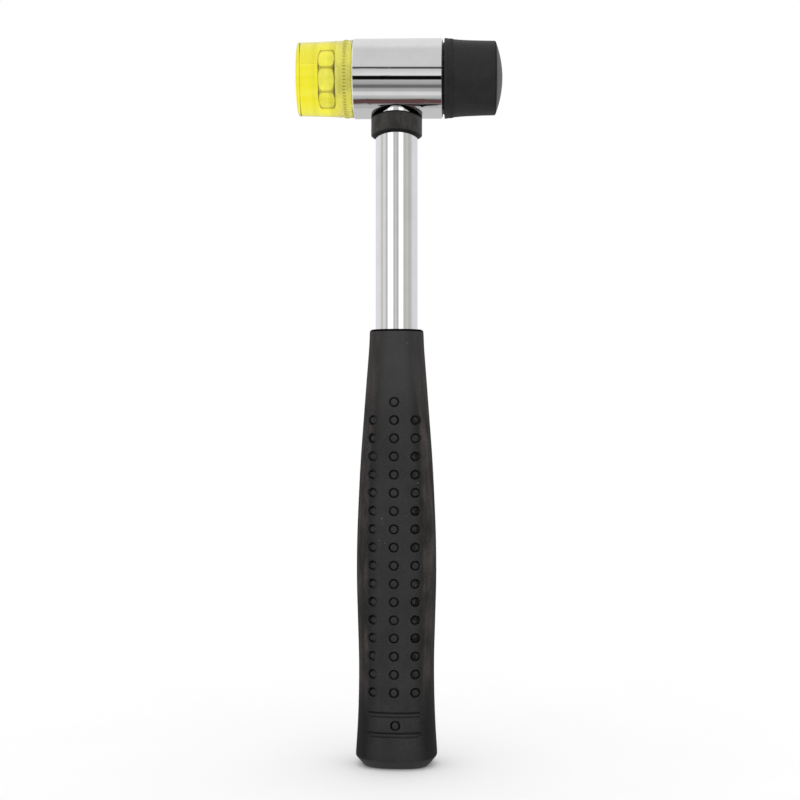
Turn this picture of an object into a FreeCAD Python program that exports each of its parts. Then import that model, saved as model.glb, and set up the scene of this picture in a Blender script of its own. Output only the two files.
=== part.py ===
import FreeCAD, Part
import math
import os

# Two-faced soft mallet: chromed steel head on a steel tube handle with a rubber grip.
# One clear plastic face and one rubber face are screwed into the two ends of the head, each on
# an M8 stud that is held by a hexagon nut moulded into the face. Millimetres. The handle's axis
# is Z with the head on top, the head's axis is X, and the origin is the centre of the flat butt.

# ---------------------------------------------------------------- driving dimensions
TUBE_R = 8.0                    # handle tube, 16 mm outside
TUBE_WALL = 1.5
TUBE_BOTTOM_Z = 4.5             # the tube stands on the closed floor of the grip

HEAD_R = 15.0                   # head barrel, 30 mm bar
HEAD_HALF_LENGTH = 17.0
HEAD_OFFSET = 0.6               # the bar's middle stands this far to +X of the handle's axis
HEAD_EDGE_CHAMFER = 0.5
HEAD_Z = 260.6                  # height of the head's axis
TUBE_SOCKET_TOP_Z = 270.0       # blind radial socket for the tube
SOCKET_END_GAP = 0.4
SOCKET_CHAMFER = 1.0            # eased mouth of the socket, round the tube

COLLAR_R = 9.7                  # soft ring pushed up against the head
COLLAR_HEIGHT = 7.6
COLLAR_SADDLE_R = 34.0          # the ring is arched fore and aft to follow the round head
COLLAR_CHAMFER = 0.8

THREAD_R = 4.0                  # M8 stud
THREAD_PITCH = 1.25
THREAD_DEPTH = 0.68
THREAD_TURNS_IN_HEAD = 6
THREAD_CLEARANCE = 0.1          # plain holes stand for the tapped ones, this much larger
TAPPED_HOLE_DEPTH = 7.8
STUD_SHOULDER_R = 4.75
STUD_SHOULDER_THICKNESS = 1.3
STUD_END_CHAMFER = 0.7

NUT_ACROSS_FLATS = 13.0         # M8 hexagon nut
NUT_THICKNESS = 6.5
NUT_START = 23.5                # distance of the nut's inner side from the bar's middle
NUT_TILT_DEG = 12.5             # how far the nut's flats are turned about the head's axis
NUT_CHAMFER_DEG = 30.0
NUT_BORE_CLEARANCE = 0.05

FACE_GAP = 0.05                 # between the head's end and a seated face

CLEAR_FACE_REACH = 37.9         # flat striking face, from the bar's middle
CLEAR_FACE_EDGE_R = 0.7
CLEAR_FACE_R_BACK = 14.62
CLEAR_FACE_R_SKIRT = 14.32
CLEAR_FACE_R_BODY = 13.98
CLEAR_FACE_R_FRONT = 13.75
CLEAR_FACE_SKIRT = 4.4          # length of the quick taper next to the head

RUBBER_FACE_R_LIP = 15.0
RUBBER_FACE_LIP = 1.25          # thickness of the lip against the head
RUBBER_FACE_LIP_EASE = 0.4      # bevel on the lip's edge next to the head
RUBBER_FACE_R_NECK = 14.25
RUBBER_FACE_R_RIM = 13.85
RUBBER_FACE_RIM = 36.4          # where the side ends, from the bar's middle
RUBBER_FACE_EDGE = 0.8          # rounding between the side and the dome
RUBBER_FACE_REACH = 39.6        # apex of the domed striking face, from the bar's middle

GRIP_TOP_Z = 165.0
GRIP_TOP_EDGE_R = 1.0
GRIP_BUTT_CHAMFER_Z = 3.8
GRIP_BUTT_CHAMFER_IN = 3.4
# height, half width, half depth and squareness of the grip's cross-section, from top to butt
GRIP_SECTIONS = [
    (GRIP_TOP_Z, 10.20, 10.20, 2.0),
    (158.0, 10.50, 10.30, 2.05),
    (146.0, 11.40, 10.80, 2.2),
    (131.0, 12.50, 11.40, 2.4),
    (115.5, 13.60, 11.90, 2.55),
    (100.0, 14.40, 12.20, 2.6),
    (85.0, 14.95, 12.40, 2.6),
    (70.0, 15.05, 12.40, 2.6),
    (55.0, 14.65, 12.20, 2.6),
    (40.0, 14.25, 11.90, 2.6),
    (28.0, 14.30, 11.90, 2.6),
    (16.0, 14.70, 12.15, 2.6),
    (GRIP_BUTT_CHAMFER_Z, 15.45, 12.60, 2.6),
]
SECTION_CORNER_DEG = 35.0       # where the four curves of an outline meet
SECTION_STEPS = 8

DIMPLE_PITCH_Z = 6.785          # rings pressed into the front and back of the grip
DIMPLE_PITCH_X = 8.1
DIMPLE_LOWEST_Z = 29.0
DIMPLE_ROWS = 17                # the side columns have one row fewer
LONE_DIMPLE_Z = 16.8
DIMPLE_R = 1.85
DIMPLE_PIP_R = 1.05
DIMPLE_DEPTH = 0.9

RIDGE_ZS = (20.8, 13.3)         # two raised bars near the butt, front and back
RIDGE_HALF_LENGTH = 9.7
RIDGE_HEIGHT = 0.35
RIDGE_THICKNESS = 1.2

V = FreeCAD.Vector
X_AXIS = V(1, 0, 0)
Z_AXIS = V(0, 0, 1)
HEAD_CENTRE = V(0, 0, HEAD_Z)


def save(name, shape):
    """Write one sub-part to its own file."""
    shape.exportStep("parts/" + name + ".step")


def placed(shape):
    """A piece drawn from the bar's middle, moved to the bar's place on the handle."""
    return shape.translated(V(HEAD_OFFSET, 0, 0))


def revolve_about_head(points_and_edges):
    """Turn a closed profile, drawn in the XZ plane above the head's axis, once round it."""
    face = Part.Face(Part.Wire(points_and_edges))
    return face.revolve(HEAD_CENTRE, X_AXIS, 360)


def head_point(distance, radius):
    """A point of a turned profile: distance along the head's axis, radius from it."""
    return V(distance, 0, HEAD_Z + radius)


def line(a, b):
    return Part.LineSegment(a, b).toShape()


def arc(a, middle, b):
    return Part.Arc(a, middle, b).toShape()


def curve(points, start_tangent=None):
    """A smooth curve through a few points."""
    spline = Part.BSplineCurve()
    if start_tangent is None:
        spline.interpolate(points)
    else:
        end_tangent = (points[-1] - points[-2]).normalize()
        spline.interpolate(Points=points, InitialTangent=start_tangent, FinalTangent=end_tangent)
    return spline.toShape()


def axial_cylinder(radius, start, end):
    """A cylinder on the head's axis between two distances from the bar's middle."""
    return Part.makeCylinder(radius, end - start, V(start, 0, HEAD_Z), X_AXIS)


def mirrored(shape):
    """The same piece for the other end of the head."""
    return shape.mirror(V(0, 0, 0), X_AXIS)


# ---------------------------------------------------------------- head and handle
def head_barrel():
    """Solid bar with a blind socket for the tube and a blind hole in each end."""
    bar = axial_cylinder(HEAD_R, -HEAD_HALF_LENGTH, HEAD_HALF_LENGTH)
    bar = bar.makeChamfer(HEAD_EDGE_CHAMFER, [e for e in bar.Edges if e.Closed])
    hole_end = HEAD_HALF_LENGTH - TAPPED_HOLE_DEPTH
    hole = axial_cylinder(THREAD_R + THREAD_CLEARANCE, hole_end, HEAD_HALF_LENGTH + 1)
    bar = placed(bar.cut([hole, mirrored(hole)]))
    start = HEAD_Z - HEAD_R - 1
    bar = bar.cut(Part.makeCylinder(TUBE_R, TUBE_SOCKET_TOP_Z - start, V(0, 0, start), Z_AXIS))
    mouth = []
    for edge in bar.Edges:
        round_tube = abs(edge.BoundBox.XLength - 2 * TUBE_R) < 0.5
        if round_tube and edge.BoundBox.ZMax < HEAD_Z - TUBE_R:
            mouth.append(edge)
    return bar.makeChamfer(SOCKET_CHAMFER, mouth)


def handle_tube():
    """Steel tube from the floor of the grip to the end of the head's socket."""
    length = TUBE_SOCKET_TOP_Z - SOCKET_END_GAP - TUBE_BOTTOM_Z
    outside = Part.makeCylinder(TUBE_R, length, V(0, 0, TUBE_BOTTOM_Z), Z_AXIS)
    inside = Part.makeCylinder(TUBE_R - TUBE_WALL, length, V(0, 0, TUBE_BOTTOM_Z), Z_AXIS)
    return outside.cut(inside)


def tube_collar():
    """Ring whose top and bottom are bent to the same saddle, so that it follows the head."""
    top = HEAD_Z - HEAD_R
    bottom = top - COLLAR_HEIGHT
    blank = Part.makeCylinder(COLLAR_R, COLLAR_HEIGHT * 2, V(0, 0, bottom), Z_AXIS)
    half = COLLAR_R + 1

    def saddle(z):
        """Long cylinder along X whose lowest line lies at height z."""
        base = V(-half, 0, z + COLLAR_SADDLE_R)
        return Part.makeCylinder(COLLAR_SADDLE_R, 2 * half, base, X_AXIS)

    ring = blank.common(saddle(bottom)).cut(saddle(top))
    rim_edges = []
    for edge in ring.Edges:
        on_rim = abs(math.hypot(edge.CenterOfMass.x, edge.CenterOfMass.y)) < COLLAR_R
        low = edge.BoundBox.ZMax < top - COLLAR_HEIGHT / 2
        if on_rim and low:
            rim_edges.append(edge)
    ring = ring.makeChamfer(COLLAR_CHAMFER, rim_edges)
    bore = Part.makeCylinder(TUBE_R, COLLAR_HEIGHT * 3, V(0, 0, bottom - 1), Z_AXIS)
    return ring.cut(bore)


# ---------------------------------------------------------------- grip
def section_point(angle, z, half_width, half_depth, squareness):
    """A point of a rounded-square outline at the given angle round the handle."""
    c = math.cos(angle)
    s = math.sin(angle)
    across = abs(c / half_width) ** squareness + abs(s / half_depth) ** squareness
    radius = across ** (-1 / squareness)
    return V(radius * c, radius * s, z)


def section_wire(z, half_width, half_depth, squareness):
    """The closed outline as four smooth curves that meet on the rounded corners."""
    section = (z, half_width, half_depth, squareness)
    corner = math.radians(SECTION_CORNER_DEG)
    ends = [-corner, corner, math.pi - corner, math.pi + corner, 2 * math.pi - corner]
    edges = []
    for start, end in zip(ends, ends[1:]):
        step = (end - start) / SECTION_STEPS
        points = [section_point(start + i * step, *section) for i in range(SECTION_STEPS + 1)]
        tangents = []
        for angle in (start, end):
            ahead = section_point(angle + 0.001, *section)
            behind = section_point(angle - 0.001, *section)
            tangents.append((ahead - behind).normalize())
        even_steps = [i / SECTION_STEPS for i in range(SECTION_STEPS + 1)]
        chord = points[0].distanceToPoint(points[1]) * SECTION_STEPS
        spline = Part.BSplineCurve()
        spline.interpolate(Points=points, Parameters=even_steps, InitialTangent=tangents[0] * chord,
                           FinalTangent=tangents[1] * chord, Scale=False)
        edges.append(spline.toShape())
    return Part.Wire(edges)


def section_at(z):
    """Half width, half depth and squareness of the grip between the two nearest sections."""
    for upper, lower in zip(GRIP_SECTIONS, GRIP_SECTIONS[1:]):
        if lower[0] <= z <= upper[0]:
            share = (z - lower[0]) / (upper[0] - lower[0])
            return [low + share * (up - low) for up, low in zip(upper[1:], lower[1:])]
    return list(GRIP_SECTIONS[-1][1:])


def surface_y(x, z):
    """How far the grip's front surface stands from the handle's middle plane."""
    half_width, half_depth, squareness = section_at(z)
    return half_depth * (1 - (abs(x) / half_width) ** squareness) ** (1 / squareness)


def dimple_places():
    """Columns and heights of the pressed rings on one side of the grip."""
    places = [(0.0, LONE_DIMPLE_Z)]
    for row in range(DIMPLE_ROWS):
        z = DIMPLE_LOWEST_Z + row * DIMPLE_PITCH_Z
        places.append((0.0, z))
        if row < DIMPLE_ROWS - 1:
            places.append((-DIMPLE_PITCH_X, z))
            places.append((DIMPLE_PITCH_X, z))
    return places


def dimple_cutters():
    """Short tubes that press a ring round a pip into the front and back surfaces."""
    cutters = []
    reach = 3.0
    for x, z in dimple_places():
        floor = surface_y(x, z) - DIMPLE_DEPTH
        for side in (-1, 1):
            start = V(x, side * floor, z)
            direction = V(0, side, 0)
            ring = Part.makeCylinder(DIMPLE_R, reach, start, direction)
            pip = Part.makeCylinder(DIMPLE_PIP_R, reach, start, direction)
            cutters.append(ring.cut(pip))
    return cutters


def ridge_bars(body):
    """Raised bars that follow the curved surface near the butt, front and back."""
    bars = []
    for z in RIDGE_ZS:
        half_width, half_depth, squareness = section_at(z)
        low = section_wire(z - RIDGE_THICKNESS / 2, half_width, half_depth + RIDGE_HEIGHT, squareness)
        high = section_wire(z + RIDGE_THICKNESS / 2, half_width, half_depth + RIDGE_HEIGHT, squareness)
        slab = Part.makeLoft([low, high], True, True)
        window = Part.makeBox(2 * RIDGE_HALF_LENGTH, 2 * half_depth + 4, 2 * RIDGE_THICKNESS,
                              V(-RIDGE_HALF_LENGTH, -half_depth - 2, z - RIDGE_THICKNESS))
        bars.append(slab.common(window))
    return body.fuse(bars)


def grip_sleeve():
    """Rubber sleeve, closed at the butt, with pressed rings and two bars front and back."""
    wires = [section_wire(*section) for section in GRIP_SECTIONS]
    body = Part.makeLoft(wires, True, False)
    z, half_width, half_depth, squareness = GRIP_SECTIONS[-1]
    inset = GRIP_BUTT_CHAMFER_IN
    butt_wire = section_wire(0.0, half_width - inset, half_depth - inset, squareness)
    butt = Part.makeLoft([section_wire(z, half_width, half_depth, squareness), butt_wire], True, True)
    body = body.fuse(butt)
    top_edges = [e for e in body.Edges if e.BoundBox.ZMin > GRIP_TOP_Z - 0.01]
    body = body.makeFillet(GRIP_TOP_EDGE_R, top_edges)
    body = ridge_bars(body)
    bore = Part.makeCylinder(TUBE_R, GRIP_TOP_Z, V(0, 0, TUBE_BOTTOM_Z), Z_AXIS)
    return body.cut(dimple_cutters() + [bore])


# ---------------------------------------------------------------- studs, nuts and faces
def face_stud():
    """M8 stud of a face: plain shoulder behind the nut, ring-cut thread on both sides of it."""
    tip = HEAD_HALF_LENGTH - THREAD_TURNS_IN_HEAD * THREAD_PITCH
    end = NUT_START + NUT_THICKNESS
    shoulder = NUT_START - STUD_SHOULDER_THICKNESS
    root = THREAD_R - THREAD_DEPTH
    points = [head_point(tip, 0), head_point(tip, THREAD_R - STUD_END_CHAMFER)]
    points.append(head_point(tip + STUD_END_CHAMFER, THREAD_R))
    crest = THREAD_PITCH / 8
    x = tip + STUD_END_CHAMFER
    while x + THREAD_PITCH < shoulder:
        points.append(head_point(x + crest, THREAD_R))
        points.append(head_point(x + THREAD_PITCH / 2, root))
        points.append(head_point(x + THREAD_PITCH / 2 + crest, root))
        points.append(head_point(x + THREAD_PITCH, THREAD_R))
        x += THREAD_PITCH
    points.append(head_point(shoulder, THREAD_R))
    points.append(head_point(shoulder, STUD_SHOULDER_R))
    points.append(head_point(NUT_START, STUD_SHOULDER_R))
    points.append(head_point(NUT_START, THREAD_R))
    points.append(head_point(end - STUD_END_CHAMFER, THREAD_R))
    points.append(head_point(end, THREAD_R - STUD_END_CHAMFER))
    points.append(head_point(end, 0))
    outline = Part.makePolygon(points + [points[0]])
    return revolve_about_head(outline.Edges)


def hexagon_prism(start, thickness):
    """Hexagon bar on the head's axis, turned by the nut's tilt."""
    corner_r = NUT_ACROSS_FLATS / 2 / math.cos(math.pi / 6)
    corners = []
    for i in range(7):
        angle = math.radians(60 * i - NUT_TILT_DEG)
        corners.append(V(start, corner_r * math.sin(angle), HEAD_Z + corner_r * math.cos(angle)))
    return Part.Face(Part.makePolygon(corners)).extrude(V(thickness, 0, 0))


def face_nut():
    """Hexagon nut, chamfered on both sides."""
    corner_r = NUT_ACROSS_FLATS / 2 / math.cos(math.pi / 6)
    flat_r = NUT_ACROSS_FLATS / 2 * 0.95
    rise = (corner_r - flat_r) * math.tan(math.radians(NUT_CHAMFER_DEG))
    start = NUT_START
    end = NUT_START + NUT_THICKNESS
    points = [head_point(start, 0), head_point(start, flat_r), head_point(start + rise, corner_r)]
    points += [head_point(end - rise, corner_r), head_point(end, flat_r), head_point(end, 0)]
    turned = revolve_about_head(Part.makePolygon(points + [points[0]]).Edges)
    bore = axial_cylinder(THREAD_R + NUT_BORE_CLEARANCE, start - 1, end + 1)
    return hexagon_prism(start, NUT_THICKNESS).common(turned).cut(bore)


def face_pocket():
    """Room that a face leaves for its nut, the stud's shoulder and the stud."""
    nut = hexagon_prism(NUT_START, NUT_THICKNESS)
    shoulder = axial_cylinder(STUD_SHOULDER_R + THREAD_CLEARANCE,
                              NUT_START - STUD_SHOULDER_THICKNESS - THREAD_CLEARANCE, NUT_START)
    stud = axial_cylinder(THREAD_R + THREAD_CLEARANCE, HEAD_HALF_LENGTH, NUT_START)
    return nut.fuse([shoulder, stud])


def clear_face():
    """Clear plastic face with a flat front, tapering away from the head."""
    back = HEAD_HALF_LENGTH + FACE_GAP
    front = CLEAR_FACE_REACH
    edge = CLEAR_FACE_EDGE_R
    middle = (back + CLEAR_FACE_SKIRT + front) / 2
    side = curve([head_point(back, CLEAR_FACE_R_BACK),
                  head_point(back + CLEAR_FACE_SKIRT, CLEAR_FACE_R_SKIRT),
                  head_point(middle, CLEAR_FACE_R_BODY),
                  head_point(front - edge, CLEAR_FACE_R_FRONT)])
    turn = edge * (1 - math.sqrt(0.5))
    corner = arc(head_point(front - edge, CLEAR_FACE_R_FRONT),
                 head_point(front - turn, CLEAR_FACE_R_FRONT - turn),
                 head_point(front, CLEAR_FACE_R_FRONT - edge))
    body = revolve_about_head([
        line(head_point(back, 0), head_point(back, CLEAR_FACE_R_BACK)),
        side,
        corner,
        line(head_point(front, CLEAR_FACE_R_FRONT - edge), head_point(front, 0)),
        line(head_point(front, 0), head_point(back, 0)),
    ])
    return body.cut(face_pocket())


def rubber_face():
    """Rubber face with a full-width lip at the head, a waisted side and a domed front."""
    back = HEAD_HALF_LENGTH + FACE_GAP
    lip_end = back + RUBBER_FACE_LIP
    ease = RUBBER_FACE_LIP_EASE
    rim = RUBBER_FACE_RIM
    dome_edge = rim + RUBBER_FACE_EDGE
    dome_r = RUBBER_FACE_R_RIM - RUBBER_FACE_EDGE
    crown = RUBBER_FACE_REACH - dome_edge
    side = curve([head_point(lip_end, RUBBER_FACE_R_LIP),
                  head_point(lip_end + 0.35 * (rim - lip_end), RUBBER_FACE_R_NECK),
                  head_point(rim, RUBBER_FACE_R_RIM)], V(1, 0, -0.14))
    turn = RUBBER_FACE_EDGE * (1 - math.sqrt(0.5))
    corner = arc(head_point(rim, RUBBER_FACE_R_RIM),
                 head_point(dome_edge - turn, RUBBER_FACE_R_RIM - turn),
                 head_point(dome_edge, dome_r))
    dome = arc(head_point(dome_edge, dome_r),
               head_point(dome_edge + 0.75 * crown, dome_r / 2),
               head_point(RUBBER_FACE_REACH, 0)).toNurbs().Edges[0]
    body = revolve_about_head([
        line(head_point(back, 0), head_point(back, RUBBER_FACE_R_LIP - ease)),
        line(head_point(back, RUBBER_FACE_R_LIP - ease), head_point(back + ease, RUBBER_FACE_R_LIP)),
        line(head_point(back + ease, RUBBER_FACE_R_LIP), head_point(lip_end, RUBBER_FACE_R_LIP)),
        side,
        corner,
        dome,
        line(head_point(RUBBER_FACE_REACH, 0), head_point(back, 0)),
    ])
    return body.cut(face_pocket())


def main():
    os.makedirs("parts", exist_ok=True)
    save("head_barrel", head_barrel())
    save("handle_tube", handle_tube())
    save("tube_collar", tube_collar())
    save("grip_sleeve", grip_sleeve())
    save("rubber_face", placed(rubber_face()))
    save("rubber_face_nut", placed(face_nut()))
    save("rubber_face_stud", placed(face_stud()))
    save("clear_face", placed(mirrored(clear_face())))
    save("clear_face_nut", placed(mirrored(face_nut())))
    save("clear_face_stud", placed(mirrored(face_stud())))


main()
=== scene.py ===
"""Looks of the two-faced soft mallet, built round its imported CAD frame. Metres, +Z up the handle."""
import math
import random

import bmesh
import bpy
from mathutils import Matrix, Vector


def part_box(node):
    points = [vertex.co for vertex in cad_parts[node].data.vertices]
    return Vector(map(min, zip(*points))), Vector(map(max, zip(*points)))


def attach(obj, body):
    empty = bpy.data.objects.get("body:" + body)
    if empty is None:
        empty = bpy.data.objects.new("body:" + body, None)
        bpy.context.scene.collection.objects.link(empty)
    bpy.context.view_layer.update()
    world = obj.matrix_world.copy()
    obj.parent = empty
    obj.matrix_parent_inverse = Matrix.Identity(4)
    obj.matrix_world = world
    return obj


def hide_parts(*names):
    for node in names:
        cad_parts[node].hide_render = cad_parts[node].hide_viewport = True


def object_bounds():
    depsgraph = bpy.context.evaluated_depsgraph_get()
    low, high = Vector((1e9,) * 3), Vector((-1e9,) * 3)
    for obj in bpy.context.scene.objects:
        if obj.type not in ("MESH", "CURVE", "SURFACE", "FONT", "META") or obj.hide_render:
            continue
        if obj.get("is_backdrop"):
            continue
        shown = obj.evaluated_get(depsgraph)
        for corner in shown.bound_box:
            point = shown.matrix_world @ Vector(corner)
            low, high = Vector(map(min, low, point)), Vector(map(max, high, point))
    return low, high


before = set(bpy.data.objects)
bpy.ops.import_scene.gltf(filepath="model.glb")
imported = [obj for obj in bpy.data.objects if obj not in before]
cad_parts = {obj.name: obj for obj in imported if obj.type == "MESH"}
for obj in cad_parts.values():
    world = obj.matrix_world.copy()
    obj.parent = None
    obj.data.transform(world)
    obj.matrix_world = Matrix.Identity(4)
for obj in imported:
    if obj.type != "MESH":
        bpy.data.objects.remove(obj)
cad_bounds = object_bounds()
MM = 0.001
RIB_COUNT = 72                  # moulded ribs round each face

# ---------------------------------------------------------------- places read from the frame
barrel_lo, barrel_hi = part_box("head_barrel")
tube_lo, tube_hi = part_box("handle_tube")
collar_lo, collar_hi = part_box("tube_collar")
clear_lo, clear_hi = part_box("clear_face")
rubber_lo, rubber_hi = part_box("rubber_face")
nut_lo, nut_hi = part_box("rubber_face_nut")
stud_lo, stud_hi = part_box("rubber_face_stud")

NUT_FLAT = nut_hi.x - nut_lo.x   # this nut is half as thick as it is wide across its flats
NUT_HALF = (nut_hi.x - nut_lo.x) / 2
NUT_MIDDLES = {node: sum(corner.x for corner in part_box(node)) / 2
               for node in ("clear_face_nut", "rubber_face_nut")}
HEAD_Z = (barrel_lo.z + barrel_hi.z) / 2
HEAD_R = (barrel_hi.z - barrel_lo.z) / 2
HEAD_MID = (barrel_lo.x + barrel_hi.x) / 2
HEAD_HALF = (barrel_hi.x - barrel_lo.x) / 2
TUBE_R = tube_hi.x


# ---------------------------------------------------------------- mesh helpers
def mesh_object(name, verts, faces, smooth_angle=30.0):
    """A mesh object with smooth shading and sharp edges above an angle, normals outwards."""
    mesh = bpy.data.meshes.new(name)
    mesh.from_pydata(verts, [], faces)
    build = bmesh.new()
    build.from_mesh(mesh)
    bmesh.ops.remove_doubles(build, verts=build.verts, dist=1e-7)
    bmesh.ops.recalc_face_normals(build, faces=build.faces)
    build.to_mesh(mesh)
    build.free()
    mesh.polygons.foreach_set("use_smooth", [True] * len(mesh.polygons))
    mesh.set_sharp_from_angle(angle=math.radians(smooth_angle))
    obj = bpy.data.objects.new(name, mesh)
    bpy.context.scene.collection.objects.link(obj)
    return obj


def lathe(name, profile, segments, place, radius_at=None, smooth_angle=30.0):
    """Turns (distance, radius) points round an axis. place(distance, radius, angle) gives a point."""
    verts = []
    rows = []
    for distance, radius in profile:
        if radius < 1e-9:
            rows.append([len(verts)] * segments)
            verts.append(place(distance, 0.0, 0.0))
            continue
        row = []
        for i in range(segments):
            angle = 2 * math.pi * i / segments
            extra = radius_at(distance, radius, angle) if radius_at else 0.0
            row.append(len(verts))
            verts.append(place(distance, radius + extra, angle))
        rows.append(row)
    faces = []
    for low, high in zip(rows, rows[1:]):
        for i in range(segments):
            j = (i + 1) % segments
            corners = [low[i], low[j], high[j], high[i]]
            face = [v for k, v in enumerate(corners) if v != corners[k - 1]]
            if len(face) > 2:
                faces.append(face)
    return mesh_object(name, verts, faces, smooth_angle)


def round_head(side):
    """Places points turned round the head's axis, at a distance from the bar's middle."""
    def place(distance, radius, angle):
        x = HEAD_MID + side * distance
        return (x, -radius * math.cos(angle), HEAD_Z + radius * math.sin(angle))
    return place


def round_handle(distance, radius, angle):
    return (radius * math.cos(angle), radius * math.sin(angle), distance)


def corner_arc(centre, radius, start_deg, end_deg, steps=5):
    """Points of a circular arc in (distance, radius) space."""
    points = []
    for i in range(steps + 1):
        a = math.radians(start_deg + (end_deg - start_deg) * i / steps)
        points.append((centre[0] + radius * math.cos(a), centre[1] + radius * math.sin(a)))
    return points


def smooth_curve(knots, steps):
    """Points of a smooth curve through knots of (position, value, ...), by cubic pieces."""
    points = []
    count = len(knots)
    for k in range(count - 1):
        here, ahead = knots[k], knots[k + 1]
        span = ahead[0] - here[0]

        def slope(i, c):
            lo, hi = knots[max(i - 1, 0)], knots[min(i + 1, count - 1)]
            return (hi[c] - lo[c]) / (hi[0] - lo[0])

        for i in range(steps + (k == count - 2)):
            t = i / steps
            row = [here[0] + span * t]
            for c in range(1, len(here)):
                m0, m1 = slope(k, c) * span, slope(k + 1, c) * span
                value = (2 * t**3 - 3 * t**2 + 1) * here[c] + (t**3 - 2 * t**2 + t) * m0
                value += (3 * t**2 - 2 * t**3) * ahead[c] + (t**3 - t**2) * m1
                row.append(value)
            points.append(tuple(row))
    return points


def smoothstep(low, high, value):
    t = min(max((value - low) / (high - low), 0.0), 1.0)
    return t * t * (3 - 2 * t)


# ---------------------------------------------------------------- material helpers
class Nodes:
    """Short calls for building one material's node tree."""

    def __init__(self, name):
        self.material = bpy.data.materials.new(name)
        self.material.use_nodes = True
        self.tree = self.material.node_tree
        self.shader = self.tree.nodes["Principled BSDF"]
        self.output = self.tree.nodes["Material Output"]
        self.coords = self.add("ShaderNodeTexCoord").outputs["Object"]

    def add(self, kind, **values):
        node = self.tree.nodes.new(kind)
        for key, value in values.items():
            setattr(node, key, value)
        return node

    def link(self, source, target):
        self.tree.links.new(source, target)

    def set(self, **values):
        for key, value in values.items():
            self.shader.inputs[key.replace("_", " ")].default_value = value

    def noise(self, scale, detail=3.0, roughness=0.5, stretch=(1, 1, 1)):
        """Noise with features about 1/scale of a millimetre."""
        place = self.add("ShaderNodeMapping")
        place.inputs["Scale"].default_value = [1000 * s for s in stretch]
        self.link(self.coords, place.inputs["Vector"])
        node = self.add("ShaderNodeTexNoise")
        node.inputs["Scale"].default_value = scale
        node.inputs["Detail"].default_value = detail
        node.inputs["Roughness"].default_value = roughness
        self.link(place.outputs["Vector"], node.inputs["Vector"])
        return node.outputs["Fac"]

    def ramp(self, source, stops):
        """Colours or greys by value: stops are (position, grey or rgb)."""
        node = self.add("ShaderNodeValToRGB")
        elements = node.color_ramp.elements
        while len(elements) < len(stops):
            elements.new(0.5)
        for element, (position, tone) in zip(elements, stops):
            rgb = (tone,) * 3 if isinstance(tone, (int, float)) else tone
            element.position = position
            element.color = (*rgb, 1.0)
        self.link(source, node.inputs["Fac"])
        return node.outputs["Color"]

    def math(self, operation, a, b=0.0, c=0.0):
        node = self.add("ShaderNodeMath", operation=operation)
        for socket, value in zip(node.inputs, (a, b, c)):
            if isinstance(value, (int, float)):
                socket.default_value = value
            else:
                self.link(value, socket)
        return node.outputs[0]

    def mix(self, factor, a, b, blend="MIX"):
        node = self.add("ShaderNodeMix", data_type="RGBA", blend_type=blend)
        for socket, value in ((node.inputs[0], factor), (node.inputs[6], a), (node.inputs[7], b)):
            if isinstance(value, tuple):
                socket.default_value = (*value, 1.0)
            elif isinstance(value, (int, float)):
                socket.default_value = value
            else:
                self.link(value, socket)
        return node.outputs[2]

    def bump(self, height, distance, strength=1.0, under=None):
        node = self.add("ShaderNodeBump")
        node.inputs["Strength"].default_value = strength
        node.inputs["Distance"].default_value = distance
        self.link(height, node.inputs["Height"])
        if under is not None:
            self.link(under, node.inputs["Normal"])
        return node.outputs["Normal"]


def dress(obj, material):
    obj.data.materials.clear()
    obj.data.materials.append(material)


# ---------------------------------------------------------------- materials
def chrome(name, tint, brushed_along):
    """Bright chrome plate: wipe marks, small scuffs, fine scratches and a soft orange-peel."""
    n = Nodes(name)
    n.set(Metallic=1.0)
    smudge = n.noise(0.12, 4.0, 0.6)
    fine = n.noise(1.0, 2.0, 0.5, brushed_along)
    pits = n.ramp(n.noise(0.42, 5.0, 0.75), [(0.70, 0.0), (0.76, 1.0)])
    worn = tuple(0.93 * t for t in tint)
    colour = n.ramp(smudge, [(0.35, tint), (0.75, worn)])
    colour = n.mix(n.math("MULTIPLY", pits, 0.35), colour, (0.35, 0.34, 0.34))
    n.link(colour, n.shader.inputs["Base Color"])
    rough = n.math("MULTIPLY_ADD", smudge, 0.03, 0.012)
    rough = n.math("MULTIPLY_ADD", pits, 0.12, rough)
    n.link(n.math("MULTIPLY_ADD", fine, 0.015, rough), n.shader.inputs["Roughness"])
    peel = n.bump(n.noise(0.16, 2.0), 0.00002, 0.25)
    scratches = n.ramp(fine, [(0.62, 0.0), (0.70, 1.0)])
    n.link(n.bump(scratches, 0.000004, 0.3, peel), n.shader.inputs["Normal"])
    return n.material


def rubber(name, dark, light, roughness, grain):
    """Moulded black rubber: fine grain and slow mottling. Returns the nodes and the colour."""
    n = Nodes(name)
    mottle = n.noise(0.16, 5.0, 0.65)
    colour = n.ramp(mottle, [(0.3, dark), (0.72, light)])
    n.link(n.math("MULTIPLY_ADD", mottle, 0.16, roughness - 0.08), n.shader.inputs["Roughness"])
    soft = n.bump(mottle, 0.0001, 0.25)
    n.link(n.bump(n.noise(grain, 4.0, 0.7), 0.00005, 0.5, soft), n.shader.inputs["Normal"])
    return n, colour


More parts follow.
